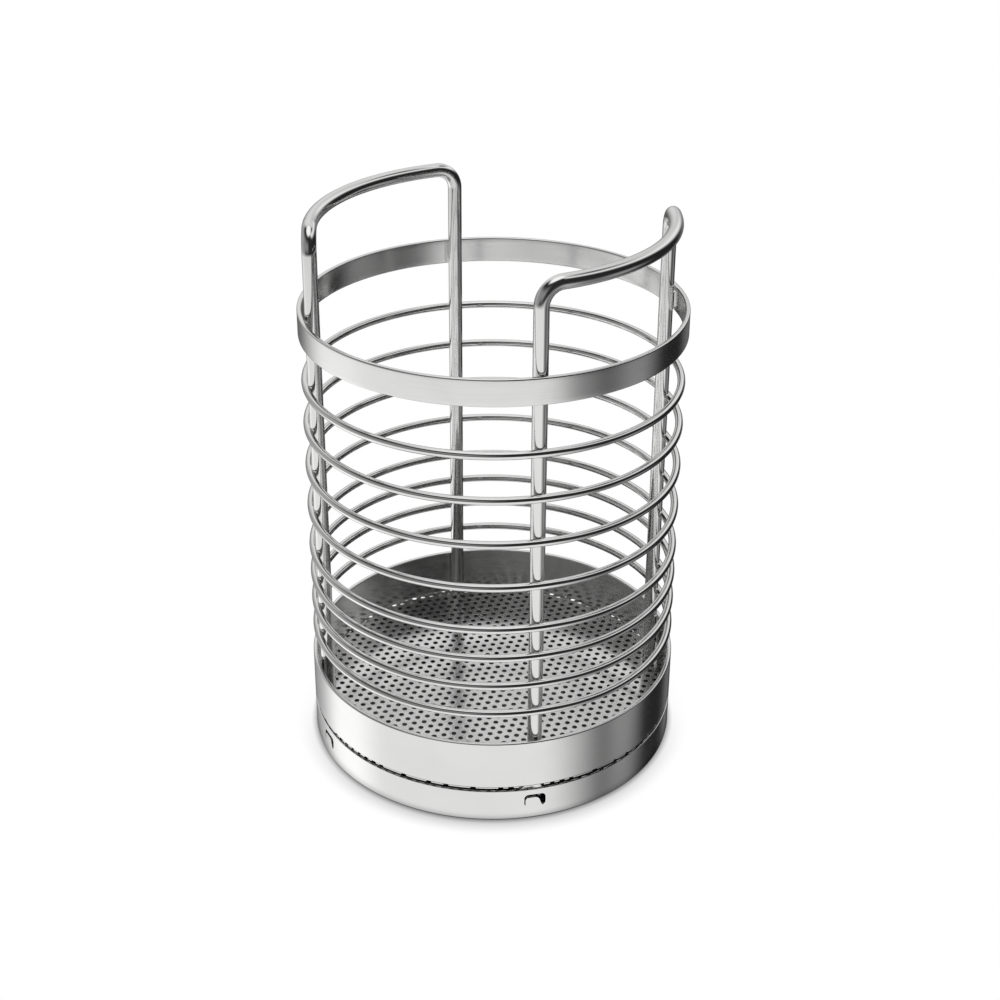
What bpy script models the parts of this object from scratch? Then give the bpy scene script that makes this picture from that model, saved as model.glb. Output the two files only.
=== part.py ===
"""Round wire drainer basket for upright utensils, standing in its own drip tray.

Units are metres and +Z is up. The origin is the centre of the tray's underside.
The two handles stand over +X and -X, so the four uprights are on the diagonals.
"""
import math

import bmesh
import bpy
from mathutils import Matrix, Vector

# Driving dimensions
BODY_RADIUS = 0.060
CLEARANCE = 0.0003
ROUND_STEPS = 64
SHARP_EDGE = math.radians(40)

# Drip tray
TRAY_HEIGHT = 0.0113
TRAY_WALL = 0.0009
TRAY_BOTTOM_ROUND = 0.0014

# Catches in the tray's wall: tongues that a slot cuts free at the sides and the top
CATCH_COUNT = 5
FIRST_CATCH = math.radians(-45.6)
CATCH_PITCH = math.radians(71.1)
SLOT_WIDTH = 0.0068
SLOT_BOTTOM = 0.0046
SLOT_TOP = 0.0088
SLOT_CORNER = 0.0013
TONGUE_LEFT = -0.0029
TONGUE_RIGHT = 0.0013
TONGUE_ROOT = 0.0019
TONGUE_TOP = 0.0078

# Perforated floor, a thin disc under the base band
FLOOR_THICKNESS = 0.0006
FLOOR_SETBACK = 0.0002
FLOOR_RADIUS = BODY_RADIUS - FLOOR_SETBACK
FLOOR_BOTTOM = TRAY_HEIGHT + CLEARANCE
FLOOR_TOP = FLOOR_BOTTOM + FLOOR_THICKNESS
HOLE_DIAMETER = 0.0015
HOLE_PITCH = 0.00325
HOLE_STRIDE = 3
HOLE_SIDES = 6
HOLE_MARGIN = 0.0012

# Locating ring under the floor, which stands in the tray
LOCATING_RING_PLAY = 0.0018
LOCATING_RING_RADIUS = BODY_RADIUS - TRAY_WALL - LOCATING_RING_PLAY
LOCATING_RING_THICKNESS = 0.0008
LOCATING_RING_EDGE = 0.0002
LOCATING_RING_BOTTOM = TRAY_WALL + CLEARANCE
LOCATING_RING_TOP = FLOOR_BOTTOM - CLEARANCE

# Flat hoops
HOOP_THICKNESS = 0.0015
HOOP_EDGE = 0.0004
BASE_BAND_BOTTOM = FLOOR_TOP + CLEARANCE
BASE_BAND_TOP = 0.0286
RIM_BAND_BOTTOM = 0.1415
RIM_BAND_TOP = 0.1499

# Round wire rings, close together low down and further apart above
RING_WIRE_RADIUS = 0.001225
RING_RADIUS = 0.0584
RING_LOWEST = 0.0388
RING_CLOSE_PITCH = 0.0099
RING_CLOSE_COUNT = 4
RING_WIDE_PITCH = 0.01435
RING_WIDE_COUNT = 4
RING_SEGMENTS = 48
RING_SIDES = 8
SEAT_SIDES = 16

# Handle rods: each is one bent rod, two uprights and the bow that joins them
ROD_RADIUS = 0.00225
UPRIGHT_RADIUS = BODY_RADIUS - HOOP_THICKNESS - CLEARANCE - ROD_RADIUS
UPRIGHT_COUNT = 4
FIRST_UPRIGHT = math.radians(45)
FOOT_HEIGHT = FLOOR_TOP + CLEARANCE
BOW_HEIGHT = 0.1756
BOW_REACH = 0.0538
BEND_RADIUS = 0.0065
BEND_STEPS = 6
BOW_STEPS = 14

STEEL_COLOUR = (0.63, 0.63, 0.62, 1.0)
POLISHED = 0.16
DRAWN_WIRE = 0.22
PUNCHED_SHEET = 0.30


def clear_scene():
    """Remove whatever the scene holds."""
    for item in list(bpy.data.objects):
        bpy.data.objects.remove(item, do_unlink=True)


def make_collection(name):
    """Add a collection to the scene."""
    collection = bpy.data.collections.new(name)
    bpy.context.scene.collection.children.link(collection)
    return collection


def move_to(collection, item):
    """Keep an object in one collection only."""
    for holder in list(item.users_collection):
        holder.objects.unlink(item)
    collection.objects.link(item)


def steel(name, roughness):
    """Bare stainless steel of the given roughness."""
    material = bpy.data.materials.new(name)
    material.use_nodes = True
    shader = material.node_tree.nodes["Principled BSDF"]
    shader.inputs["Base Color"].default_value = STEEL_COLOUR
    shader.inputs["Metallic"].default_value = 1.0
    shader.inputs["Roughness"].default_value = roughness
    return material


def finish(item, roughness):
    """Give a piece its own steel and smooth shading that keeps its edges."""
    item.data.materials.append(steel(item.name + "_steel", roughness))
    if item.type == "MESH":
        item.data.shade_smooth()
        item.data.set_sharp_from_angle(angle=SHARP_EDGE)


def mesh_object(name, mesh_data, collection):
    """Turn a bmesh into a named object."""
    mesh = bpy.data.meshes.new(name)
    mesh_data.to_mesh(mesh)
    mesh_data.free()
    item = bpy.data.objects.new(name, mesh)
    collection.objects.link(item)
    return item


def corner_round(centre_x, centre_z, radius, start_deg, end_deg, steps):
    """Points of a quarter round in the XZ plane."""
    points = []
    for step in range(steps + 1):
        angle = math.radians(start_deg + (end_deg - start_deg) * step / steps)
        points.append((centre_x + radius * math.cos(angle), centre_z + radius * math.sin(angle)))
    return points


def turned(name, profile, closed, collection):
    """Turn a profile of (radius, height) points about Z with a Screw modifier."""
    mesh_data = bmesh.new()
    corners = [mesh_data.verts.new((radius, 0.0, height)) for radius, height in profile]
    for first, second in zip(corners, corners[1:]):
        mesh_data.edges.new((first, second))
    if closed:
        mesh_data.edges.new((corners[-1], corners[0]))
    item = mesh_object(name, mesh_data, collection)
    screw = item.modifiers.new("turn", "SCREW")
    screw.axis = "Z"
    screw.steps = ROUND_STEPS
    screw.render_steps = ROUND_STEPS
    screw.use_merge_vertices = True
    screw.merge_threshold = 0.00001
    return item


def boolean(item, operation, tool):
    """Add a Boolean modifier that works with another object."""
    modifier = item.modifiers.new(tool.name, "BOOLEAN")
    modifier.operation = operation
    modifier.solver = "EXACT"
    modifier.object = tool


def as_cutter(item):
    """Mark an object as a tool and not a piece."""
    item.hide_render = True
    item.display_type = "WIRE"
    return item


def around(first, count):
    """Equally spaced directions about Z."""
    return [first + index * math.tau / count for index in range(count)]


def upright_clearance(collection):
    """Four rods a little thicker than the uprights, which cut the seats of the rings."""
    mesh_data = bmesh.new()
    radius = ROD_RADIUS + CLEARANCE
    for angle in around(FIRST_UPRIGHT, UPRIGHT_COUNT):
        place = (UPRIGHT_RADIUS * math.cos(angle), UPRIGHT_RADIUS * math.sin(angle), 0.0)
        bmesh.ops.create_cone(
            mesh_data, cap_ends=True, segments=SEAT_SIDES, radius1=radius, radius2=radius,
            depth=2 * RIM_BAND_TOP, matrix=Matrix.Translation(place))
    return as_cutter(mesh_object("upright_clearance", mesh_data, collection))


def slot_outline():
    """Corners of a catch's slot in the tray's wall: (distance along the wall, height)."""
    side = SLOT_WIDTH / 2
    reach = side - SLOT_CORNER
    rise = SLOT_TOP - SLOT_CORNER
    outline = [(-side, SLOT_BOTTOM)]
    outline += corner_round(-reach, rise, SLOT_CORNER, 180, 90, 3)
    outline += corner_round(reach, rise, SLOT_CORNER, 90, 0, 3)
    outline += [(side, SLOT_BOTTOM), (TONGUE_ROOT, SLOT_BOTTOM), (TONGUE_RIGHT, TONGUE_TOP),
                (TONGUE_LEFT, TONGUE_TOP), (TONGUE_LEFT, SLOT_BOTTOM)]
    return outline


def catch_slots(collection):
    """Blocks that reach through the tray's wall and cut the slots round its tongues."""
    mesh_data = bmesh.new()
    for index in range(CATCH_COUNT):
        turn = Matrix.Rotation(FIRST_CATCH + index * CATCH_PITCH, 3, "Z")
        rings = []
        for reach in (BODY_RADIUS - 2 * TRAY_WALL, BODY_RADIUS + TRAY_WALL):
            places = [turn @ Vector((reach, along, height)) for along, height in slot_outline()]
            rings.append([mesh_data.verts.new(place) for place in places])
        inner, outer = rings
        mesh_data.faces.new(inner)
        mesh_data.faces.new(reversed(outer))
        for corner in range(len(inner)):
            mesh_data.faces.new((inner[corner - 1], outer[corner - 1], outer[corner], inner[corner]))
    bmesh.ops.recalc_face_normals(mesh_data, faces=mesh_data.faces)
    return as_cutter(mesh_object("catch_slots", mesh_data, collection))


def drip_tray(parts, cutters):
    """Shallow round tray with a rounded bottom edge and catches cut in its wall."""
    inner = BODY_RADIUS - TRAY_WALL
    inner_round = max(TRAY_BOTTOM_ROUND - TRAY_WALL, CLEARANCE)
    lip = TRAY_WALL / 2
    profile = [(0.0, TRAY_WALL)]
    profile += corner_round(inner - inner_round, TRAY_WALL + inner_round, inner_round, -90, 0, 2)
    profile += corner_round(BODY_RADIUS - lip, TRAY_HEIGHT - lip, lip, 180, 0, 4)
    profile += corner_round(
        BODY_RADIUS - TRAY_BOTTOM_ROUND, TRAY_BOTTOM_ROUND, TRAY_BOTTOM_ROUND, 0, -90, 3)
    profile.append((0.0, 0.0))
    item = turned("drip_tray", profile, False, parts)
    boolean(item, "DIFFERENCE", catch_slots(cutters))
    finish(item, POLISHED)
    return item


def hole_places():
    """Every third hole of the floor's triangular pattern, in rows along the uprights' diagonal."""
    pitch = HOLE_PITCH * HOLE_STRIDE
    row_pitch = pitch * math.sqrt(3) / 2
    reach = FLOOR_RADIUS - HOLE_DIAMETER / 2 - HOLE_MARGIN
    count = math.ceil(FLOOR_RADIUS / row_pitch)
    turn = Matrix.Rotation(FIRST_UPRIGHT, 2)
    places = []
    for row in range(-count, count + 1):
        shift = pitch / 2 if row % 2 else 0.0
        for column in range(-count, count + 1):
            x, y = turn @ Vector((column * pitch + shift, row * row_pitch))
            if math.hypot(x, y) < reach:
                places.append((x, y))
    return places


def perforated_floor(parts, cutters):
    """Thin disc with punched holes, under the base band and the feet of the uprights."""
    mesh_data = bmesh.new()
    for x, y in hole_places():
        bmesh.ops.create_cone(
            mesh_data, cap_ends=True, segments=HOLE_SIDES, radius1=HOLE_DIAMETER / 2,
            radius2=HOLE_DIAMETER / 2, depth=4 * FLOOR_THICKNESS,
            matrix=Matrix.Translation((x, y, FLOOR_BOTTOM)))
    punches = as_cutter(mesh_object("floor_punches", mesh_data, cutters))
    bpy.ops.mesh.primitive_cylinder_add(
        vertices=ROUND_STEPS, radius=FLOOR_RADIUS, depth=FLOOR_THICKNESS,
        location=(0, 0, (FLOOR_BOTTOM + FLOOR_TOP) / 2))
    item = bpy.context.object
    item.name = "perforated_floor"
    move_to(parts, item)
    boolean(item, "DIFFERENCE", punches)
    finish(item, PUNCHED_SHEET)
    return item


def flat_hoop(name, outer, thickness, edge, bottom, top, parts):
    """Flat steel strip closed into a hoop, with its edges eased."""
    inner = outer - thickness
    profile = corner_round(inner + edge, bottom + edge, edge, 270, 180, 1)
    profile += corner_round(inner + edge, top - edge, edge, 180, 90, 1)
    profile += corner_round(outer - edge, top - edge, edge, 90, 0, 1)
    profile += corner_round(outer - edge, bottom + edge, edge, 0, -90, 1)
    item = turned(name, profile, True, parts)
    finish(item, POLISHED)
    return item


def ring_heights():
    """Heights of the wire rings, from the lowest to the highest."""
    heights = [RING_LOWEST + index * RING_CLOSE_PITCH for index in range(RING_CLOSE_COUNT)]
    highest_close = heights[-1]
    heights += [highest_close + (index + 1) * RING_WIDE_PITCH for index in range(RING_WIDE_COUNT)]
    return heights


def wire_ring(name, height, parts, uprights):
    """Round wire ring, seated into the uprights where it is welded to them."""
    bpy.ops.mesh.primitive_torus_add(
        location=(0, 0, height), major_radius=RING_RADIUS, minor_radius=RING_WIRE_RADIUS,
        major_segments=RING_SEGMENTS, minor_segments=RING_SIDES)
    item = bpy.context.object
    item.name = name
    move_to(parts, item)
    boolean(item, "DIFFERENCE", uprights)
    finish(item, DRAWN_WIRE)
    return item


def handle_line():
    """Centre line of the handle over +X: foot, upright, bend, bow, bend, upright, foot."""
    corner = UPRIGHT_RADIUS * math.cos(FIRST_UPRIGHT)
    rise = BOW_REACH - corner
    bow_radius = (corner ** 2 + rise ** 2) / (2 * rise)
    half_angle = math.asin(corner / bow_radius)
    run = 2 * bow_radius * half_angle

    half = [(0.0, FOOT_HEIGHT)]
    for step in range(BEND_STEPS + 1):
        angle = math.pi / 2 * step / BEND_STEPS
        half.append((BEND_RADIUS * (1 - math.cos(angle)),
                     BOW_HEIGHT - BEND_RADIUS * (1 - math.sin(angle))))
    line = list(half)
    for step in range(1, BOW_STEPS):
        line.append((BEND_RADIUS + (run - 2 * BEND_RADIUS) * step / BOW_STEPS, BOW_HEIGHT))
    line += [(run - along, height) for along, height in reversed(half)]

    points = []
    for along, height in line:
        angle = along / bow_radius - half_angle
        points.append((BOW_REACH - bow_radius * (1 - math.cos(angle)),
                       bow_radius * math.sin(angle), height))
    return points


def handle_wire(name, turn, parts):
    """One bent rod: two uprights that stand inside the rings, and the bow between them."""
    curve = bpy.data.curves.new(name, "CURVE")
    curve.dimensions = "3D"
    curve.bevel_depth = ROD_RADIUS
    curve.bevel_resolution = 3
    curve.use_fill_caps = True
    points = handle_line()
    spline = curve.splines.new("POLY")
    spline.points.add(len(points) - 1)
    for knot, place in zip(spline.points, points):
        knot.co = (*place, 1.0)
    item = bpy.data.objects.new(name, curve)
    item.rotation_euler = (0, 0, turn)
    parts.objects.link(item)
    finish(item, DRAWN_WIRE)
    return item


def main():
    clear_scene()
    parts = make_collection("utensil_drainer")
    cutters = make_collection("cutters")
    uprights = upright_clearance(cutters)

    drip_tray(parts, cutters)
    basket = [
        flat_hoop("locating_ring", LOCATING_RING_RADIUS, LOCATING_RING_THICKNESS,
                  LOCATING_RING_EDGE, LOCATING_RING_BOTTOM, LOCATING_RING_TOP, parts),
        perforated_floor(parts, cutters),
        flat_hoop("base_band", BODY_RADIUS, HOOP_THICKNESS, HOOP_EDGE,
                  BASE_BAND_BOTTOM, BASE_BAND_TOP, parts),
        flat_hoop("rim_band", BODY_RADIUS, HOOP_THICKNESS, HOOP_EDGE,
                  RIM_BAND_BOTTOM, RIM_BAND_TOP, parts),
    ]
    for number, height in enumerate(ring_heights(), start=1):
        basket.append(wire_ring(f"wire_ring_{number}", height, parts, uprights))
    basket.append(handle_wire("handle_wire_right", 0.0, parts))
    basket.append(handle_wire("handle_wire_left", math.pi, parts))

    # The basket lifts straight up out of the tray, along Z
    lift = bpy.data.objects.new("basket_lift", None)
    parts.objects.link(lift)
    for piece in basket:
        piece.parent = lift


main()
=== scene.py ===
"""Looks of the wire utensil drainer: its finished pieces, its steel finishes and its stage.

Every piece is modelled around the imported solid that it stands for, in metres and +Z up. The handles
stand over +X and -X, and the four uprights on the diagonals.
"""
import math

import bmesh
import bpy
from mathutils import Euler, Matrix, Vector


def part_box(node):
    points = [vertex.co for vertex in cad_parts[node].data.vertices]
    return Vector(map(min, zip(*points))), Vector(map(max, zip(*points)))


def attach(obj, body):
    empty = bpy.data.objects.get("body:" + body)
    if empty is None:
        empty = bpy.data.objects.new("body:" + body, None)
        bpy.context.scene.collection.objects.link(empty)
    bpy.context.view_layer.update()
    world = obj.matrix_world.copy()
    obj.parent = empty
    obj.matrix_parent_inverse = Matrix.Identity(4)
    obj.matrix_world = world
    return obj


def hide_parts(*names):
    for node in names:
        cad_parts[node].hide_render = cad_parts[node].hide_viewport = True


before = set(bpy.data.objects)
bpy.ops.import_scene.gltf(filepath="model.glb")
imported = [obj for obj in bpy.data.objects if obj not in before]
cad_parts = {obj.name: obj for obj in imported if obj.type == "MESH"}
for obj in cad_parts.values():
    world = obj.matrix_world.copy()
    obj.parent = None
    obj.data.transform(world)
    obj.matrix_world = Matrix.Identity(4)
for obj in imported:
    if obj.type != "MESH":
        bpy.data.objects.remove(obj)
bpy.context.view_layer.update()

bl_info = {
    "name": "Wire Utensil Drainer",
    "version": (1, 0, 0),
    "blender": (4, 5, 0),
    "location": "3D View > Sidebar > Drainer",
    "description": "Models a round wire drainer in its drip tray, with steel finishes and a studio stage",
    "category": "Add Mesh",
}

# How finely the pieces are divided
TRAY_COLUMNS = 360
TRAY_ROUND_STEPS = 3
TRAY_LIP_STEPS = 2
SLOT_STEPS = 8
TONGUE_STEPS = 4
HOOP_COLUMNS = 240
HOOP_EDGE_STEPS = 4
WIRE_SIDES = 24
RING_STEPS = 288
ROD_SIDES = 32
BEND_STEPS = 16
BOW_STEPS = 64
ROD_END_STEPS = 3
HOLE_SIDES = 12
SMOOTH_ANGLE = math.radians(35)
HARD_ANGLE = math.radians(60)

# Where the uprights and the tray's catches stand, round +Z from +X
UPRIGHT_ANGLES = [math.radians(angle) for angle in (45, 135, 225, 315)]
CATCH_ANGLES = [math.radians(-45.6 + 71.1 * step) for step in range(5)]

# Distances that count as nothing: between doubled points, and between points of neighbouring holes
MERGE = 1e-6
HOLE_MERGE = 1e-5

# Depths of the cutters, in thicknesses of the sheets that they cut
SLOT_CUTTER = 4
FLOOR_CUTTER = 8

# How much of the noises the finishes use, how the noises look and how far the grain changes the polish
GRAIN_RANGE = (0.3, 0.7)
GRAIN_DETAIL = 3.0
GRAIN_SHARE = 0.2
SMUDGE_RANGE = (0.45, 0.75)
SMUDGE_DETAIL = 4.0
SMUDGE_SWIRL = 0.6

# The camera's sensor in millimetres, the nearest that it sees and the floor's width in metres, the rays
# that look for what stands near the floor, and how light the shadow stays behind the drainer
SENSOR_WIDTH = 36
NEAREST = 0.01
FLOOR_SIZE = 8
SHADOW_RAYS = 8
BACK_SHADOW = 0.9

# Sizes of the steel's grain along each axis: lines round the hoops, cloudy on the punched floor and fine
# on the rods
ROLLED_ROUND = (0.02, 0.02, 0.0004)
PUNCHED = (0.004, 0.004, 0.004)
DRAWN = (0.0006, 0.0006, 0.012)

# The studio that the steel mirrors, in the order that the panels cover each other. Angles are degrees:
# bearing from the camera's side towards its right, elevation, half width, half height, tilt and soft
# edge. The last number is brightness.
ROOM = 0.03
PANELS = (
    ("back wall", 180, 20, 50, 45, 0, 14, 0.9),
    ("left wall", -100, 8, 45, 24, 0, 16, 0.45),
    ("front wall", -45, 18, 42, 18, 0, 16, 0.3),
    ("ceiling", 0, 90, 360, 26, 0, 8, 1.25),
    ("white floor", 0, -60, 360, 45, 0, 9, 1.0),
    ("left reflector", -106, -40, 21, 14, 0, 14, 1.35),
    ("left flag", -168, -20, 34, 22, 0, 22, 0.15),
    ("rim flag", 58, -16, 18, 10, 0, 13, 0.05),
    ("right flag", 111, -18, 52, 46, 0, 28, 0.02),
    ("right kicker", 91, -30, 14, 14, 0, 12, 0.34),
    ("edge flag", 177, -33, 20, 12, 0, 9, 0.04),
    ("strip light", 112, 36, 56, 9, -23, 10, 1.08),
)


# Properties


def length(name, description, default):
    """A size in metres."""
    return bpy.props.FloatProperty(
        name=name, description=description, default=default, min=0.0, precision=5, unit="LENGTH")


def angle(name, description, degrees):
    """An angle, given in degrees."""
    return bpy.props.FloatProperty(
        name=name, description=description, default=math.radians(degrees), subtype="ANGLE")


def share(name, description, default):
    """A number from nought to one."""
    return bpy.props.FloatProperty(
        name=name, description=description, default=default, min=0.0, max=1.0, subtype="FACTOR")


def colour(name, description, default):
    """A plain colour."""
    return bpy.props.FloatVectorProperty(
        name=name, description=description, default=default, min=0.0, max=1.0, size=3,
        subtype="COLOR")


class DrainerSizes(bpy.types.PropertyGroup):
    """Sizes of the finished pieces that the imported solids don't give."""

    tray_wall: length("Tray wall", "Thickness of the tray's sheet", 0.0009)
    tray_round: length("Tray bottom round", "Round under the tray's edge", 0.0006)
    tray_lip: length("Tray lip", "Round on the tray's top edge", 0.0003)
    tray_drop: length("Tray drop", "How far the tray's top edge lies below its solid's", 0.0005)
    slot_width: length("Slot width", "Width of the slot round a catch's tongue", 0.0068)
    slot_bottom: length("Slot bottom", "Height of the slot's lower ends", 0.0043)
    slot_top: length("Slot top", "Height of the slot's upper edge", 0.0088)
    slot_corner: length("Slot corner", "Round at the slot's corners", 0.0014)
    tongue_left: length("Tongue left", "Reach of the tongue to the left of the slot's middle", 0.0030)
    tongue_right: length("Tongue right", "Reach of the tongue to the right of the slot's middle", 0.0011)
    tongue_flare: length("Tongue flare", "How much further it reaches to the right at its root", 0.0027)
    tongue_top: length("Tongue top", "Height of the tongue's upper edge", 0.0076)
    tongue_corner: length("Tongue corner", "Round at the tongue's upper corners", 0.0009)
    floor_thickness: length("Floor sheet", "Thickness of the punched sheet", 0.00035)
    hole_diameter: length("Hole", "Diameter of a punched hole", 0.00175)
    hole_pitch: length("Hole pitch", "Distance between holes along a row", 0.00325)
    hole_lip: length("Hole lip", "Width of the rolled edge that the punch leaves", 0.00008)
    hole_dip: length("Hole dip", "How far that edge dips into the hole", 0.00002)
    hoop_wall: length("Hoop wall", "Thickness of the base and rim hoops", 0.0015)
    hoop_edge: length("Hoop edge", "Round on the hoops' edges", 0.0005)
    locating_wall: length("Locating ring wall", "Thickness of the ring under the floor", 0.0008)
    locating_edge: length("Locating ring edge", "Round on that ring's edges", 0.0002)
    weld_reach: length("Weld reach", "Half length of a weld between a wire and an upright", 0.0018)
    weld_swell: length("Weld swell", "How far the wire swells at a weld", 0.00012)
    seam_tall: length("Weld seam", "Height of the weld seam between hoop and upright", 0.0050)
    seam_rise: length("Seam rise", "How far that seam stands off the hoop", 0.00055)
    bend_radius: length("Handle bend", "Radius of the bends at the ends of a handle's bow", 0.0065)
    bow_reach: length("Bow reach", "Distance from the axis to the middle of a handle's bow", 0.0538)
    rod_end: length("Rod end", "Round on the rods' lower ends", 0.0004)


class DrainerFinish(bpy.types.PropertyGroup):
    """Colours and polish of the steel, and the painted shade on the tray's bottom."""

    steel: colour("Steel", "Colour of the bare stainless steel", (0.755, 0.755, 0.75))
    smudge: colour("Smudge", "Colour of the steel in a smudge", (0.70, 0.70, 0.695))
    # Painted shade: the tray inside colour is a dark base colour painted on the tray's bottom under the
    # punched floor, where shade falls.
    inside: colour("Tray inside", "Colour of the unpolished steel on the tray's bottom", (0.2, 0.2, 0.2))
    sheet_polish: share("Sheet roughness", "Roughness of the hoops and the tray", 0.17)
    punched_polish: share("Punched roughness", "Roughness of the punched floor", 0.16)
    wire_polish: share("Wire roughness", "Roughness of the ring wires", 0.07)
    rod_polish: share("Rod roughness", "Roughness of the handle rods", 0.11)
    smudge_size: length("Smudge size", "Size of the faint cloudy marks from handling", 0.022)
    smudge_dullness: share("Smudge dullness", "How much rougher the steel is in a smudge", 0.3)
    grain_depth: length("Grain depth", "Depth of the rolling and drawing lines", 0.000001)


class DrainerStage(bpy.types.PropertyGroup):
    """Camera, floor and studio light."""

    camera_lens: length("Lens", "Focal length on a 36 mm sensor", 0.058967)
    camera_bearing: angle("Bearing", "Where the camera stands, round +Z from +X", -58.4912)
    camera_reach: length("Reach", "Level distance from the drainer's axis to the camera", 0.468432)
    camera_height: length("Height", "Height of the camera over the floor", 0.331309)
    look_bearing: angle("Look", "Direction that the camera looks in, round +Z from +X", 121.2497)
    look_down: angle("Look down", "How far the camera looks below the horizon", 24.9978)
    camera_roll: angle("Roll", "Turn of the camera about its line of sight", 0.3058)
    camera_drop: share("Drop", "How far the picture is shifted down, as a share of its height", 0.09)
    floor_colour: colour("Floor", "Colour of the floor", (0.8, 0.8, 0.8))
    shadow_reach: length("Shadow reach", "How far the soft shadow reaches in front of the drainer", 0.0075)
    shadow_turn: length("Shadow turn", "How far in front of the axis that shadow is at its darkest", 0.06)
    contact_reach: length("Contact shadow", "How far the dark shadow reaches where the tray stands", 0.002)
    mirror_reach: length("Mirrored shadow", "How far the steel mirrors that shadow", 0.003)


# Modelling helpers


def begin(name, add, **settings):
    """Starts a piece from a primitive at its size and place, with nothing else selected."""
    bpy.ops.object.select_all(action="DESELECT")
    add(**settings)
    piece = bpy.context.object
    piece.name = name
    piece.data.name = name
    bpy.ops.object.transform_apply(location=True, rotation=True, scale=True)
    return piece


def open_edit():
    """Opens the active piece in edit mode, with all of it selected."""
    bpy.ops.object.mode_set(mode="EDIT")
    bpy.ops.mesh.select_all(action="SELECT")


def close_edit():
    """Goes back to object mode."""
    bpy.ops.object.mode_set(mode="OBJECT")


def middle(element):
    """The middle of a vertex, an edge or a face."""
    if isinstance(element, bmesh.types.BMVert):
        return element.co
    corners = [vert.co for vert in element.verts]
    return sum(corners, Vector()) / len(corners)


def pick(piece, kind, wanted):
    """Selects the vertices, edges or faces whose middle passes a test, and nothing else."""
    bpy.ops.mesh.select_mode(type=kind)
    bpy.ops.mesh.select_all(action="DESELECT")
    mesh = bmesh.from_edit_mesh(piece.data)
    elements = {"VERT": mesh.verts, "EDGE": mesh.edges, "FACE": mesh.faces}[kind]
    found = [element for element in elements if wanted(middle(element))]
    if not found:
        raise RuntimeError(f"{piece.name} has no {kind.lower()} in the place asked for")
    for element in found:
        element.select_set(True)
    mesh.select_flush_mode()
    bmesh.update_edit_mesh(piece.data)


def cut_level(height):
    """Cuts the piece in edit mode at a height, so that a row of edges runs round it."""
    bpy.ops.mesh.select_all(action="SELECT")
    bpy.ops.mesh.bisect(plane_co=(0, 0, height), plane_no=(0, 0, 1))


def add_modifier(piece, kind, **settings):
    """Adds a modifier to the active piece and applies it."""
    modifier = piece.modifiers.new(kind.title(), kind)
    for name, value in settings.items():
        setattr(modifier, name, value)
    bpy.ops.object.modifier_apply(modifier=modifier.name)


def plan_radius(place):
    """Level distance from the drainer's axis."""
    return math.hypot(place.x, place.y)


def nearest_turn(place, bearings):
    """Smallest angle about the axis from a place to any of some bearings."""
    around = math.atan2(place.y, place.x)
    return min(abs((around - bearing + math.pi) % (2 * math.pi) - math.pi) for bearing in bearings)


def close_mesh():
    """Merges doubles and turns the faces outwards, in edit mode."""
    bpy.ops.mesh.select_all(action="SELECT")
    bpy.ops.mesh.remove_doubles(threshold=MERGE)
    bpy.ops.mesh.normals_make_consistent(inside=False)


def activate(piece):
    """Makes one piece the active one and the only one selected."""
    bpy.ops.object.select_all(action="DESELECT")
    piece.select_set(True)
    bpy.context.view_layer.objects.active = piece


def hand_over(piece, material, slot, body, *nodes):
    """Gives a finished piece its shading, steel and body, and hides the solids it stands for. Its slot is
    not used.
    """
    activate(piece)
    bpy.ops.object.shade_smooth_by_angle(angle=SMOOTH_ANGLE)
    add_modifier(piece, "WEIGHTED_NORMAL", keep_sharp=True)
    piece.data.materials.clear()
    piece.data.materials.append(material)
    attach(piece, body)
    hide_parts(*nodes)


# Materials


def add_node(tree, kind, sockets, **settings):
    """Adds a node with some settings, and feeds its sockets with outputs or plain values."""
    node = tree.nodes.new(kind)
    for name, value in settings.items():
        setattr(node, name, value)
    for name, value in sockets.items():
        if isinstance(value, bpy.types.NodeSocket):
            tree.links.new(value, node.inputs[name])
        else:
            node.inputs[name].default_value = value
    return node


def calculate(tree, operation, *values):
    """A Math node's result from some outputs and numbers."""
    return add_node(tree, "ShaderNodeMath", dict(enumerate(values)), operation=operation).outputs["Value"]


def mix_colours(tree, factor, first, second, label=""):
    """A Mix node's colour between two colours or outputs."""
    sockets = {"Factor": factor, "A": first, "B": second}
    return add_node(tree, "ShaderNodeMix", sockets, data_type="RGBA", label=label).outputs["Result"]


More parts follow.
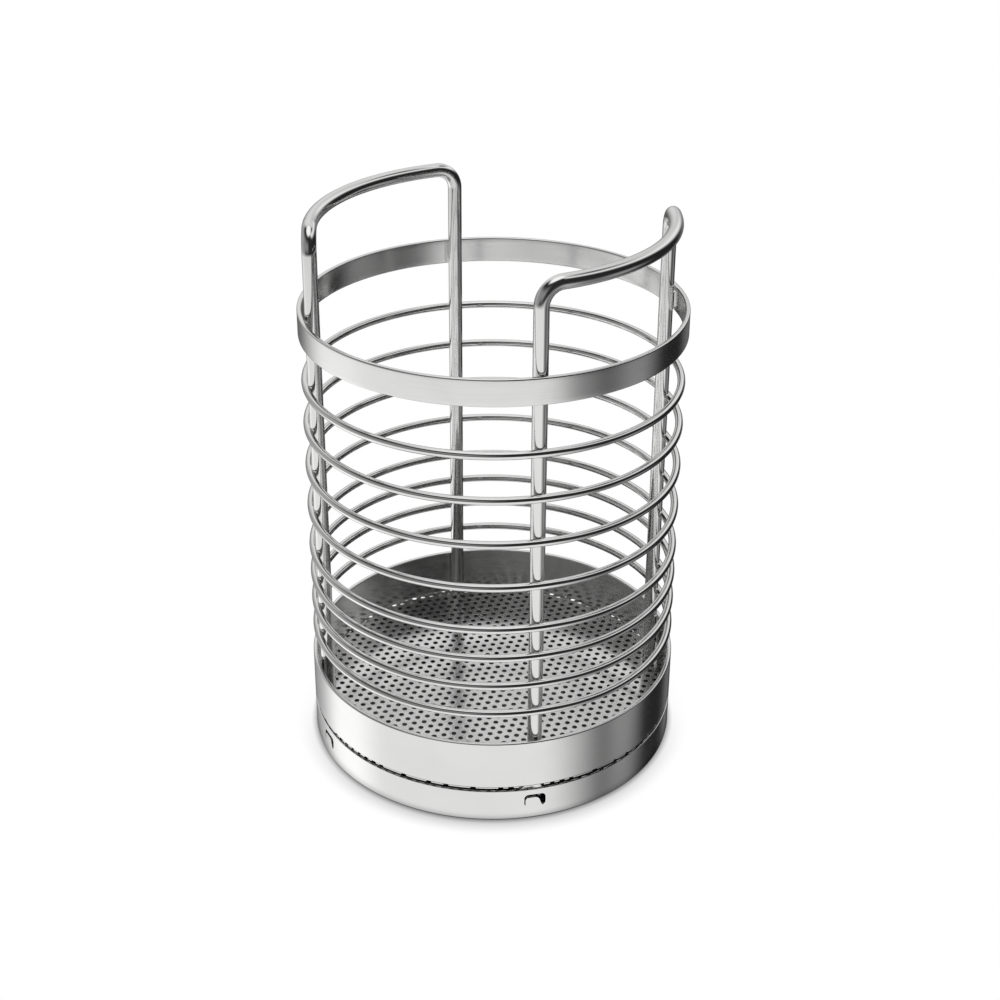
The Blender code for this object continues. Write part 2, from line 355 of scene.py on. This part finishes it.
def steel_finish(name, finish, roughness, grain):
    """Stainless steel with fine lines from rolling or drawing and cloudy marks from handling.

    The grain is the size of its lines along each axis, in metres.
    """
    material = bpy.data.materials.new(name)
    material.use_nodes = True
    tree = material.node_tree
    place = add_node(tree, "ShaderNodeTexCoord", {}).outputs["Object"]
    stretched = add_node(tree, "ShaderNodeMapping", {
        "Vector": place, "Scale": [1 / size for size in grain]}).outputs["Vector"]
    lines = add_node(tree, "ShaderNodeTexNoise", {
        "Vector": stretched, "Scale": 1.0, "Detail": GRAIN_DETAIL}).outputs["Fac"]
    smudges = add_node(tree, "ShaderNodeTexNoise", {
        "Vector": place, "Scale": 1 / finish.smudge_size, "Detail": SMUDGE_DETAIL,
        "Distortion": SMUDGE_SWIRL}).outputs["Fac"]

    dull = add_node(tree, "ShaderNodeMapRange", {
        "Value": smudges, "From Min": SMUDGE_RANGE[0], "From Max": SMUDGE_RANGE[1],
        "To Max": finish.smudge_dullness * roughness}).outputs["Result"]
    polish = add_node(tree, "ShaderNodeMapRange", {
        "Value": lines, "From Min": GRAIN_RANGE[0], "From Max": GRAIN_RANGE[1],
        "To Min": (1 - GRAIN_SHARE) * roughness,
        "To Max": (1 + GRAIN_SHARE) * roughness}).outputs["Result"]
    relief = add_node(tree, "ShaderNodeBump", {
        "Height": lines, "Strength": 1.0, "Distance": finish.grain_depth}).outputs["Normal"]

    shader = tree.nodes["Principled BSDF"]
    shader.inputs["Metallic"].default_value = 1.0
    tint = mix_colours(tree, smudges, (*finish.steel, 1), (*finish.smudge, 1))
    tree.links.new(tint, shader.inputs["Base Color"])
    tree.links.new(calculate(tree, "ADD", dull, polish), shader.inputs["Roughness"])
    tree.links.new(relief, shader.inputs["Normal"])
    return material


def paint_bottom_shade(material, finish, radius, height):
    """Paints shade on a steel within a radius of the axis and over a height: the tray's bottom under the
    punched floor is darkened to stand for the shade there.
    """
    tree = material.node_tree
    place = add_node(tree, "ShaderNodeTexCoord", {}).outputs["Object"]
    axes = add_node(tree, "ShaderNodeSeparateXYZ", {"Vector": place})
    level = add_node(tree, "ShaderNodeCombineXYZ", {"X": axes.outputs["X"], "Y": axes.outputs["Y"]})
    reach = add_node(tree, "ShaderNodeVectorMath", {0: level.outputs["Vector"]}, operation="LENGTH")
    near = calculate(tree, "LESS_THAN", reach.outputs["Value"], radius)
    over = calculate(tree, "GREATER_THAN", axes.outputs["Z"], height)
    base_colour = tree.nodes["Principled BSDF"].inputs["Base Color"]
    polished = base_colour.links[0].from_socket
    darkened = mix_colours(tree, calculate(tree, "MULTIPLY", near, over), polished, (*finish.inside, 1))
    # The painted shade is mixed into the base colour here.
    tree.links.new(darkened, base_colour)


# Pieces


class DRAINER_OT_tray(bpy.types.Operator):
    """Model the drip tray with the catches cut in its wall"""

    bl_idname = "drainer.tray"
    bl_label = "Drip Tray"

    def slot_block(self, sizes, radius):
        """A block on +X that cuts a slot through the tray's wall, round a tongue."""
        deep = SLOT_CUTTER * sizes.tray_wall
        side = sizes.slot_width / 2
        block = begin("slot_block", bpy.ops.mesh.primitive_cube_add, size=1, location=(
            radius, 0, (sizes.slot_bottom + sizes.slot_top) / 2), scale=(
            deep, sizes.slot_width, sizes.slot_top - sizes.slot_bottom))
        open_edit()
        pick(block, "EDGE", lambda place: abs(place.x - radius) < MERGE and abs(place.y) > side - MERGE)
        bpy.ops.mesh.bevel(offset=sizes.slot_corner, segments=SLOT_STEPS)
        close_edit()

        tongue = begin("tongue_block", bpy.ops.mesh.primitive_cube_add, size=1, location=(
            radius, (sizes.tongue_right - sizes.tongue_left) / 2, sizes.tongue_top / 2), scale=(
            2 * deep, sizes.tongue_right + sizes.tongue_left, sizes.tongue_top))
        open_edit()
        pick(tongue, "VERT", lambda place: place.z < MERGE and place.y > 0)
        bpy.ops.transform.translate(value=(0, sizes.tongue_flare, 0))
        pick(tongue, "EDGE", lambda place: (
            place.z > sizes.tongue_top - MERGE and abs(place.x - radius) < MERGE))
        bpy.ops.mesh.bevel(offset=sizes.tongue_corner, segments=TONGUE_STEPS)
        close_edit()
        activate(block)
        add_modifier(block, "BOOLEAN", operation="DIFFERENCE", object=tongue, solver="EXACT")
        bpy.data.objects.remove(tongue)
        return block

    def execute(self, context):
        sizes = context.scene.drainer_sizes
        finish = context.scene.drainer_finish
        low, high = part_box("drip_tray")
        radius = high.x
        height = high.z - low.z - sizes.tray_drop

        piece = begin(
            "tray_shell", bpy.ops.mesh.primitive_cylinder_add, vertices=TRAY_COLUMNS,
            radius=radius, depth=height, location=(0, 0, height / 2))
        open_edit()
        pick(piece, "FACE", lambda place: place.z > height - MERGE)
        bpy.ops.mesh.delete(type="FACE")
        close_mesh()
        close_edit()
        add_modifier(piece, "SOLIDIFY", thickness=sizes.tray_wall, offset=-1.0, use_even_offset=True)
        open_edit()
        pick(piece, "EDGE", lambda place: place.z < MERGE)
        bpy.ops.mesh.bevel(offset=sizes.tray_round, segments=TRAY_ROUND_STEPS)
        close_edit()
        add_modifier(piece, "BEVEL", width=sizes.tray_lip, segments=TRAY_LIP_STEPS, limit_method="ANGLE",
                     angle_limit=HARD_ANGLE)

        block = self.slot_block(sizes, radius)
        for bearing in CATCH_ANGLES:
            block.rotation_euler.z = bearing
            activate(piece)
            add_modifier(piece, "BOOLEAN", operation="DIFFERENCE", object=block, solver="EXACT")
        bpy.data.objects.remove(block)
        open_edit()
        bpy.ops.mesh.remove_doubles(threshold=MERGE)
        close_edit()
        steel = steel_finish("polished tray steel", finish, finish.sheet_polish, ROLLED_ROUND)
        ring_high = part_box("locating_ring")[1]
        # Painted shade on the tray's bottom, inside the locating ring and above the middle of the sheet.
        paint_bottom_shade(steel, finish, ring_high.x, sizes.tray_wall / 2)
        hand_over(piece, steel, "polished_sheet", "tray", "drip_tray")
        return {"FINISHED"}


class DRAINER_OT_floor(bpy.types.Operator):
    """Model the punched floor, with holes right out to its edge"""

    bl_idname = "drainer.floor"
    bl_label = "Perforated Floor"

    def execute(self, context):
        sizes = context.scene.drainer_sizes
        finish = context.scene.drainer_finish
        low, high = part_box("perforated_floor")
        radius = high.x
        pitch = sizes.hole_pitch
        row_pair = pitch * math.sqrt(3)
        columns = 2 * math.ceil(radius / pitch) + 2
        row_pairs = 2 * math.ceil(radius / row_pair) + 2
        hole = sizes.hole_diameter / 2
        corner_stretch = 2 / math.sqrt(3)

        start = Vector((-columns // 2 * pitch, -row_pairs // 2 * row_pair, high.z))
        piece = begin(
            "floor_sheet", bpy.ops.mesh.primitive_circle_add, vertices=HOLE_SIDES, radius=hole,
            location=start)
        open_edit()
        for grow in ((hole + sizes.hole_lip) / hole, pitch / 2 / (hole + sizes.hole_lip)):
            bpy.ops.mesh.extrude_edges_move()
            bpy.ops.transform.resize(value=(grow, grow, 1), center_override=start)
        corners = [math.radians(30 + 60 * step) for step in range(6)]
        half_side = math.pi / HOLE_SIDES
        pick(piece, "VERT", lambda place: (
            (place - start).length > pitch / 2 - HOLE_MERGE
            and nearest_turn(place - start, corners) < half_side))
        bpy.ops.transform.resize(value=(corner_stretch, corner_stretch, 1), center_override=start)
        pick(piece, "VERT", lambda place: (place - start).length < hole + MERGE)
        bpy.ops.transform.translate(value=(0, 0, -sizes.hole_dip))
        bpy.ops.mesh.select_all(action="SELECT")
        bpy.ops.mesh.duplicate_move(
            TRANSFORM_OT_translate={"value": (pitch / 2, row_pair / 2, 0)})
        close_edit()

        add_modifier(piece, "ARRAY", count=columns, use_relative_offset=False,
                     use_constant_offset=True, constant_offset_displace=(pitch, 0, 0))
        add_modifier(piece, "ARRAY", count=row_pairs, use_relative_offset=False,
                     use_constant_offset=True, constant_offset_displace=(0, row_pair, 0))
        piece.rotation_euler.z = UPRIGHT_ANGLES[0]
        bpy.ops.object.transform_apply(rotation=True)
        open_edit()
        bpy.ops.mesh.remove_doubles(threshold=HOLE_MERGE)
        bpy.ops.mesh.normals_make_consistent(inside=False)
        close_edit()
        add_modifier(piece, "SOLIDIFY", thickness=sizes.floor_thickness, offset=-1.0)

        disc = begin(
            "floor_outline", bpy.ops.mesh.primitive_cylinder_add, vertices=HOOP_COLUMNS,
            radius=radius, depth=FLOOR_CUTTER * sizes.floor_thickness,
            location=(0, 0, (low.z + high.z) / 2))
        activate(piece)
        add_modifier(piece, "BOOLEAN", operation="INTERSECT", object=disc, solver="MANIFOLD")
        bpy.data.objects.remove(disc)
        steel = steel_finish("punched sheet steel", finish, finish.punched_polish, PUNCHED)
        hand_over(piece, steel, "punched_sheet", "basket", "perforated_floor")
        return {"FINISHED"}


class DRAINER_OT_hoops(bpy.types.Operator):
    """Model the base and rim hoops with their weld seams, and the ring under the floor"""

    bl_idname = "drainer.hoops"
    bl_label = "Hoops"

    def hoop(self, name, radius, bottom, top, wall, edge):
        """A flat hoop standing on its edge, with its edges rounded."""
        piece = begin(
            name, bpy.ops.mesh.primitive_cylinder_add, vertices=HOOP_COLUMNS, radius=radius,
            depth=top - bottom, end_fill_type="NOTHING", location=(0, 0, (bottom + top) / 2))
        add_modifier(piece, "SOLIDIFY", thickness=wall, offset=-1.0)
        add_modifier(piece, "BEVEL", width=edge, segments=HOOP_EDGE_STEPS, limit_method="ANGLE",
                     angle_limit=HARD_ANGLE)
        return piece

    def weld_to_uprights(self, piece, sizes, radius, height):
        """Raises a short seam on the hoop's inner face at each upright."""
        column = 2 * math.pi / HOOP_COLUMNS
        low = height - sizes.seam_tall / 2
        high = height + sizes.seam_tall / 2
        inside = radius - sizes.hoop_wall / 2
        open_edit()
        for level in (low, high):
            cut_level(level)
        pick(piece, "FACE", lambda place: (
            low < place.z < high and plan_radius(place) < inside
            and nearest_turn(place, UPRIGHT_ANGLES) < column))
        bpy.ops.mesh.inset(thickness=sizes.seam_rise / 2, depth=sizes.seam_rise)
        close_edit()

    def execute(self, context):
        sizes = context.scene.drainer_sizes
        finish = context.scene.drainer_finish
        steel = steel_finish("polished hoop steel", finish, finish.sheet_polish, ROLLED_ROUND)
        floor_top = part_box("perforated_floor")[1].z

        for name, node in (("base_hoop", "base_band"), ("rim_hoop", "rim_band")):
            low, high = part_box(node)
            bottom = floor_top if node == "base_band" else low.z
            piece = self.hoop(name, high.x, bottom, high.z, sizes.hoop_wall, sizes.hoop_edge)
            self.weld_to_uprights(piece, sizes, high.x, (low.z + high.z) / 2)
            hand_over(piece, steel, "polished_sheet", "basket", node)

        low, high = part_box("locating_ring")
        top = floor_top - sizes.floor_thickness
        piece = self.hoop(
            "locating_hoop", high.x, low.z, top, sizes.locating_wall, sizes.locating_edge)
        hand_over(piece, steel, "polished_sheet", "basket", "locating_ring")
        return {"FINISHED"}


class DRAINER_OT_rings(bpy.types.Operator):
    """Spin one wire ring, swell it at its welds and copy it up the basket"""

    bl_idname = "drainer.rings"
    bl_label = "Wire Rings"

    def execute(self, context):
        sizes = context.scene.drainer_sizes
        finish = context.scene.drainer_finish
        nodes = sorted(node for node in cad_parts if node.startswith("wire_ring"))
        low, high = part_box(nodes[0])
        wire = (high.z - low.z) / 2
        height = (high.z + low.z) / 2
        radius = high.x - wire
        weld_turn = sizes.weld_reach / radius

        first = begin(
            "ring_wire_1", bpy.ops.mesh.primitive_circle_add, vertices=WIRE_SIDES, radius=wire,
            location=(radius, 0, height), rotation=(math.pi / 2, 0, 0))
        open_edit()
        bpy.ops.mesh.spin(steps=RING_STEPS, angle=2 * math.pi, center=(0, 0, height), axis=(0, 0, 1))
        close_mesh()
        pick(first, "VERT", lambda place: (
            plan_radius(place) < radius and nearest_turn(place, UPRIGHT_ANGLES) < weld_turn))
        bpy.ops.transform.shrink_fatten(value=sizes.weld_swell)
        close_edit()

        steel = steel_finish("drawn wire steel", finish, finish.wire_polish, ROLLED_ROUND)
        rings = [first]
        for number, node in enumerate(nodes[1:], start=2):
            node_low, node_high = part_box(node)
            activate(first)
            bpy.ops.object.duplicate()
            ring = bpy.context.object
            ring.name = f"ring_wire_{number}"
            ring.data.name = ring.name
            ring.location.z = (node_low.z + node_high.z) / 2 - height
            bpy.ops.object.transform_apply(location=True)
            rings.append(ring)
        for ring, node in zip(rings, nodes):
            hand_over(ring, steel, "drawn_wire", "basket", node)
        return {"FINISHED"}


class DRAINER_OT_handles(bpy.types.Operator):
    """Bend one handle from a rod, and turn a copy to the other side"""

    bl_idname = "drainer.handles"
    bl_label = "Handles"

    def execute(self, context):
        sizes = context.scene.drainer_sizes
        finish = context.scene.drainer_finish
        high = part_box("handle_wire_right")[1]
        floor_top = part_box("perforated_floor")[1].z
        rod = high.x - sizes.bow_reach
        bow_height = high.z - rod
        corner = high.y - rod
        bend = sizes.bend_radius
        steepness = (sizes.bow_reach - corner) / (corner + bend)
        heading = math.pi / 2 - 2 * math.atan(steepness)
        ahead = Vector((math.cos(heading), math.sin(heading), 0))
        bow_radius = (corner - bend * ahead.y) / ahead.x
        bow_centre = Vector((sizes.bow_reach - bow_radius, 0, bow_height))
        foot = Vector((corner, -corner, floor_top))
        bend_height = bow_height - bend

        right = begin(
            "handle_rod_right", bpy.ops.mesh.primitive_circle_add, vertices=ROD_SIDES, radius=rod,
            location=foot)
        open_edit()
        bpy.ops.mesh.extrude_region_move(
            TRANSFORM_OT_translate={"value": (0, 0, bend_height - foot.z)})
        bend_centre = Vector((foot.x, foot.y, bend_height)) + bend * ahead
        bpy.ops.mesh.spin(steps=BEND_STEPS, angle=math.pi / 2, center=bend_centre,
                          axis=ahead.cross((0, 0, 1)))
        bpy.ops.mesh.spin(steps=BOW_STEPS, angle=math.pi - 2 * heading, center=bow_centre,
                          axis=(0, 0, -1))
        back = Vector((-ahead.x, ahead.y, 0))
        bend_centre = Vector((foot.x, -foot.y, bend_height)) - bend * back
        bpy.ops.mesh.spin(steps=BEND_STEPS, angle=math.pi / 2, center=bend_centre,
                          axis=back.cross((0, 0, 1)))
        bpy.ops.mesh.extrude_region_move(
            TRANSFORM_OT_translate={"value": (0, 0, foot.z - bend_height)})
        for side in (-1, 1):
            pick(right, "EDGE", lambda place: (
                place.z < foot.z + MERGE and place.y * side > 0))
            bpy.ops.mesh.edge_face_add()
        pick(right, "EDGE", lambda place: place.z < foot.z + MERGE)
        bpy.ops.mesh.bevel(offset=sizes.rod_end, segments=ROD_END_STEPS)
        close_mesh()
        close_edit()

        bpy.ops.object.duplicate()
        left = bpy.context.object
        left.name = "handle_rod_left"
        left.data.name = left.name
        left.rotation_euler.z = math.pi
        bpy.ops.object.transform_apply(rotation=True)
        steel = steel_finish("drawn rod steel", finish, finish.rod_polish, DRAWN)
        hand_over(right, steel, "drawn_rod", "basket", "handle_wire_right")
        hand_over(left, steel, "drawn_rod", "basket", "handle_wire_left")
        return {"FINISHED"}


class DRAINER_OT_stage(bpy.types.Operator):
    """Set the floor, the studio light and the camera"""

    bl_idname = "drainer.stage"
    bl_label = "Stage"

    def execute(self, context):
        stage = context.scene.drainer_stage
        self.camera(context, stage)
        self.floor(stage)
        self.world(context, stage)
        context.scene.view_settings.view_transform = "Standard"
        return {"FINISHED"}

    def camera(self, context, stage):
        """A camera at the photograph's viewing angle."""
        data = bpy.data.cameras.new("camera")
        data.sensor_width = SENSOR_WIDTH
        data.lens = stage.camera_lens * 1000
        data.clip_start = NEAREST
        data.shift_y = -stage.camera_drop
        camera = bpy.data.objects.new("camera", data)
        context.scene.collection.objects.link(camera)
        camera.location = (
            stage.camera_reach * math.cos(stage.camera_bearing),
            stage.camera_reach * math.sin(stage.camera_bearing),
            stage.camera_height)
        level = Euler((math.pi / 2 - stage.look_down, 0, stage.look_bearing - math.pi / 2), "XYZ")
        roll = Euler((0, 0, stage.camera_roll), "XYZ")
        camera.rotation_euler = (level.to_matrix() @ roll.to_matrix()).to_euler("XYZ")
        context.scene.camera = camera

    def floor(self, stage):
        """A plain floor that shows white with the shadow on it, and of which steel mirrors the shadow."""
        bpy.ops.object.select_all(action="DESELECT")
        bpy.ops.mesh.primitive_plane_add(size=FLOOR_SIZE)
        floor = bpy.context.object
        floor.name = "stage_floor"
        material = bpy.data.materials.new("stage floor")
        material.use_nodes = True
        tree = material.node_tree
        tree.nodes.clear()

        def openness(reach):
            """How open the floor is within a reach: one in the clear, and less beside the tray."""
            return add_node(
                tree, "ShaderNodeAmbientOcclusion", {"Distance": reach}, samples=SHADOW_RAYS).outputs

        place = add_node(tree, "ShaderNodeTexCoord", {}).outputs["Object"]
        to_camera = (math.cos(stage.camera_bearing), math.sin(stage.camera_bearing), 0)
        forward = add_node(
            tree, "ShaderNodeVectorMath", {0: place, 1: to_camera}, operation="DOT_PRODUCT")
        darkest = add_node(tree, "ShaderNodeMapRange", {
            "Value": forward.outputs["Value"], "From Max": stage.shadow_turn,
            "To Min": BACK_SHADOW, "To Max": 0.0})
        shadow = add_node(tree, "ShaderNodeMapRange", {
            "Value": openness(stage.shadow_reach)["AO"], "To Min": darkest.outputs["Result"]})
        white = add_node(tree, "ShaderNodeEmission", {
            "Color": openness(stage.contact_reach)["Color"], "Strength": shadow.outputs["Result"]})
        plain = add_node(tree, "ShaderNodeBsdfDiffuse", {"Color": (*stage.floor_colour, 1)})
        clear = add_node(tree, "ShaderNodeBsdfTransparent", {
            "Color": openness(stage.mirror_reach)["Color"]})

        path = add_node(tree, "ShaderNodeLightPath", {}).outputs
        seen = add_node(tree, "ShaderNodeMixShader", {
            0: path["Is Camera Ray"], 1: plain.outputs["BSDF"], 2: white.outputs["Emission"]})
        mirrored = add_node(tree, "ShaderNodeMixShader", {
            0: path["Is Glossy Ray"], 1: seen.outputs["Shader"], 2: clear.outputs["BSDF"]})
        add_node(tree, "ShaderNodeOutputMaterial", {"Surface": mirrored.outputs["Shader"]})
        floor.data.materials.append(material)

    def world(self, context, stage):
        """A white dome, of which the steel mirrors a studio with bright and dark sides."""
        world = bpy.data.worlds.new("studio")
        world.use_nodes = True
        world.cycles.sampling_method = "NONE"
        context.scene.world = world
        tree = world.node_tree
        tree.nodes.clear()
        direction = add_node(tree, "ShaderNodeTexCoord", {}).outputs["Generated"]
        facing = add_node(tree, "ShaderNodeMapping", {
            "Vector": direction, "Rotation": (0, 0, -stage.camera_bearing)})
        axes = add_node(tree, "ShaderNodeSeparateXYZ", {"Vector": facing.outputs["Vector"]}).outputs
        bearing = calculate(tree, "ARCTAN2", axes["Y"], axes["X"])
        elevation = calculate(tree, "ARCSINE", axes["Z"])

        def inside(distance, half_size, soft):
            """One within a half size of nought and nought outside it, with a soft edge."""
            return add_node(tree, "ShaderNodeMapRange", {
                "Value": calculate(tree, "ABSOLUTE", distance),
                "From Min": math.radians(half_size + soft),
                "From Max": math.radians(half_size - soft),
            }, interpolation_type="SMOOTHSTEP").outputs["Result"]

        shade = (ROOM, ROOM, ROOM, 1)
        for name, turn, rise, half_width, half_height, tilt, soft, brightness in PANELS:
            cosine = math.cos(math.radians(tilt))
            sine = math.sin(math.radians(tilt))
            past = calculate(tree, "SUBTRACT", bearing, math.radians(turn))
            across = calculate(tree, "WRAP", past, math.pi, -math.pi)
            up = calculate(tree, "SUBTRACT", elevation, math.radians(rise))
            along = calculate(tree, "MULTIPLY_ADD", up, sine, calculate(tree, "MULTIPLY", across, cosine))
            over = calculate(tree, "MULTIPLY_ADD", across, -sine, calculate(tree, "MULTIPLY", up, cosine))
            cover = calculate(
                tree, "MULTIPLY", inside(along, half_width, soft), inside(over, half_height, soft))
            panel = (brightness, brightness, brightness, 1)
            shade = mix_colours(tree, cover, shade, panel, label=name)

        path = add_node(tree, "ShaderNodeLightPath", {}).outputs
        light = mix_colours(tree, path["Is Glossy Ray"], (1, 1, 1, 1), shade)
        back = add_node(tree, "ShaderNodeBackground", {"Color": light})
        add_node(tree, "ShaderNodeOutputWorld", {"Surface": back.outputs["Background"]})


class DRAINER_PT_sidebar(bpy.types.Panel):
    """Lists the drainer's pieces and its stage in the 3D view's sidebar."""

    bl_idname = "DRAINER_PT_sidebar"
    bl_label = "Utensil Drainer"
    bl_space_type = "VIEW_3D"
    bl_region_type = "UI"
    bl_category = "Drainer"

    def draw(self, context):
        for operator in OPERATORS:
            self.layout.operator(operator.bl_idname)
        for group in ("drainer_sizes", "drainer_finish", "drainer_stage"):
            values = getattr(context.scene, group)
            box = self.layout.box()
            for name in values.bl_rna.properties.keys():
                if name not in ("rna_type", "name"):
                    box.prop(values, name)


OPERATORS = (
    DRAINER_OT_tray,
    DRAINER_OT_floor,
    DRAINER_OT_hoops,
    DRAINER_OT_rings,
    DRAINER_OT_handles,
    DRAINER_OT_stage,
)
GROUPS = {
    "drainer_sizes": DrainerSizes,
    "drainer_finish": DrainerFinish,
    "drainer_stage": DrainerStage,
}


def register():
    """Registers the properties, the operators and the panel."""
    for name, group in GROUPS.items():
        bpy.utils.register_class(group)
        setattr(bpy.types.Scene, name, bpy.props.PointerProperty(type=group))
    for item in (*OPERATORS, DRAINER_PT_sidebar):
        bpy.utils.register_class(item)


def unregister():
    """Takes them off again, last first."""
    for item in reversed((*OPERATORS, DRAINER_PT_sidebar)):
        bpy.utils.unregister_class(item)
    for name, group in reversed(list(GROUPS.items())):
        delattr(bpy.types.Scene, name)
        bpy.utils.unregister_class(group)


def main():
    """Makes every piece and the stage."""
    register()
    bpy.ops.drainer.tray()
    bpy.ops.drainer.floor()
    bpy.ops.drainer.hoops()
    bpy.ops.drainer.rings()
    bpy.ops.drainer.handles()
    bpy.ops.drainer.stage()


if __name__ == "__main__":
    main()
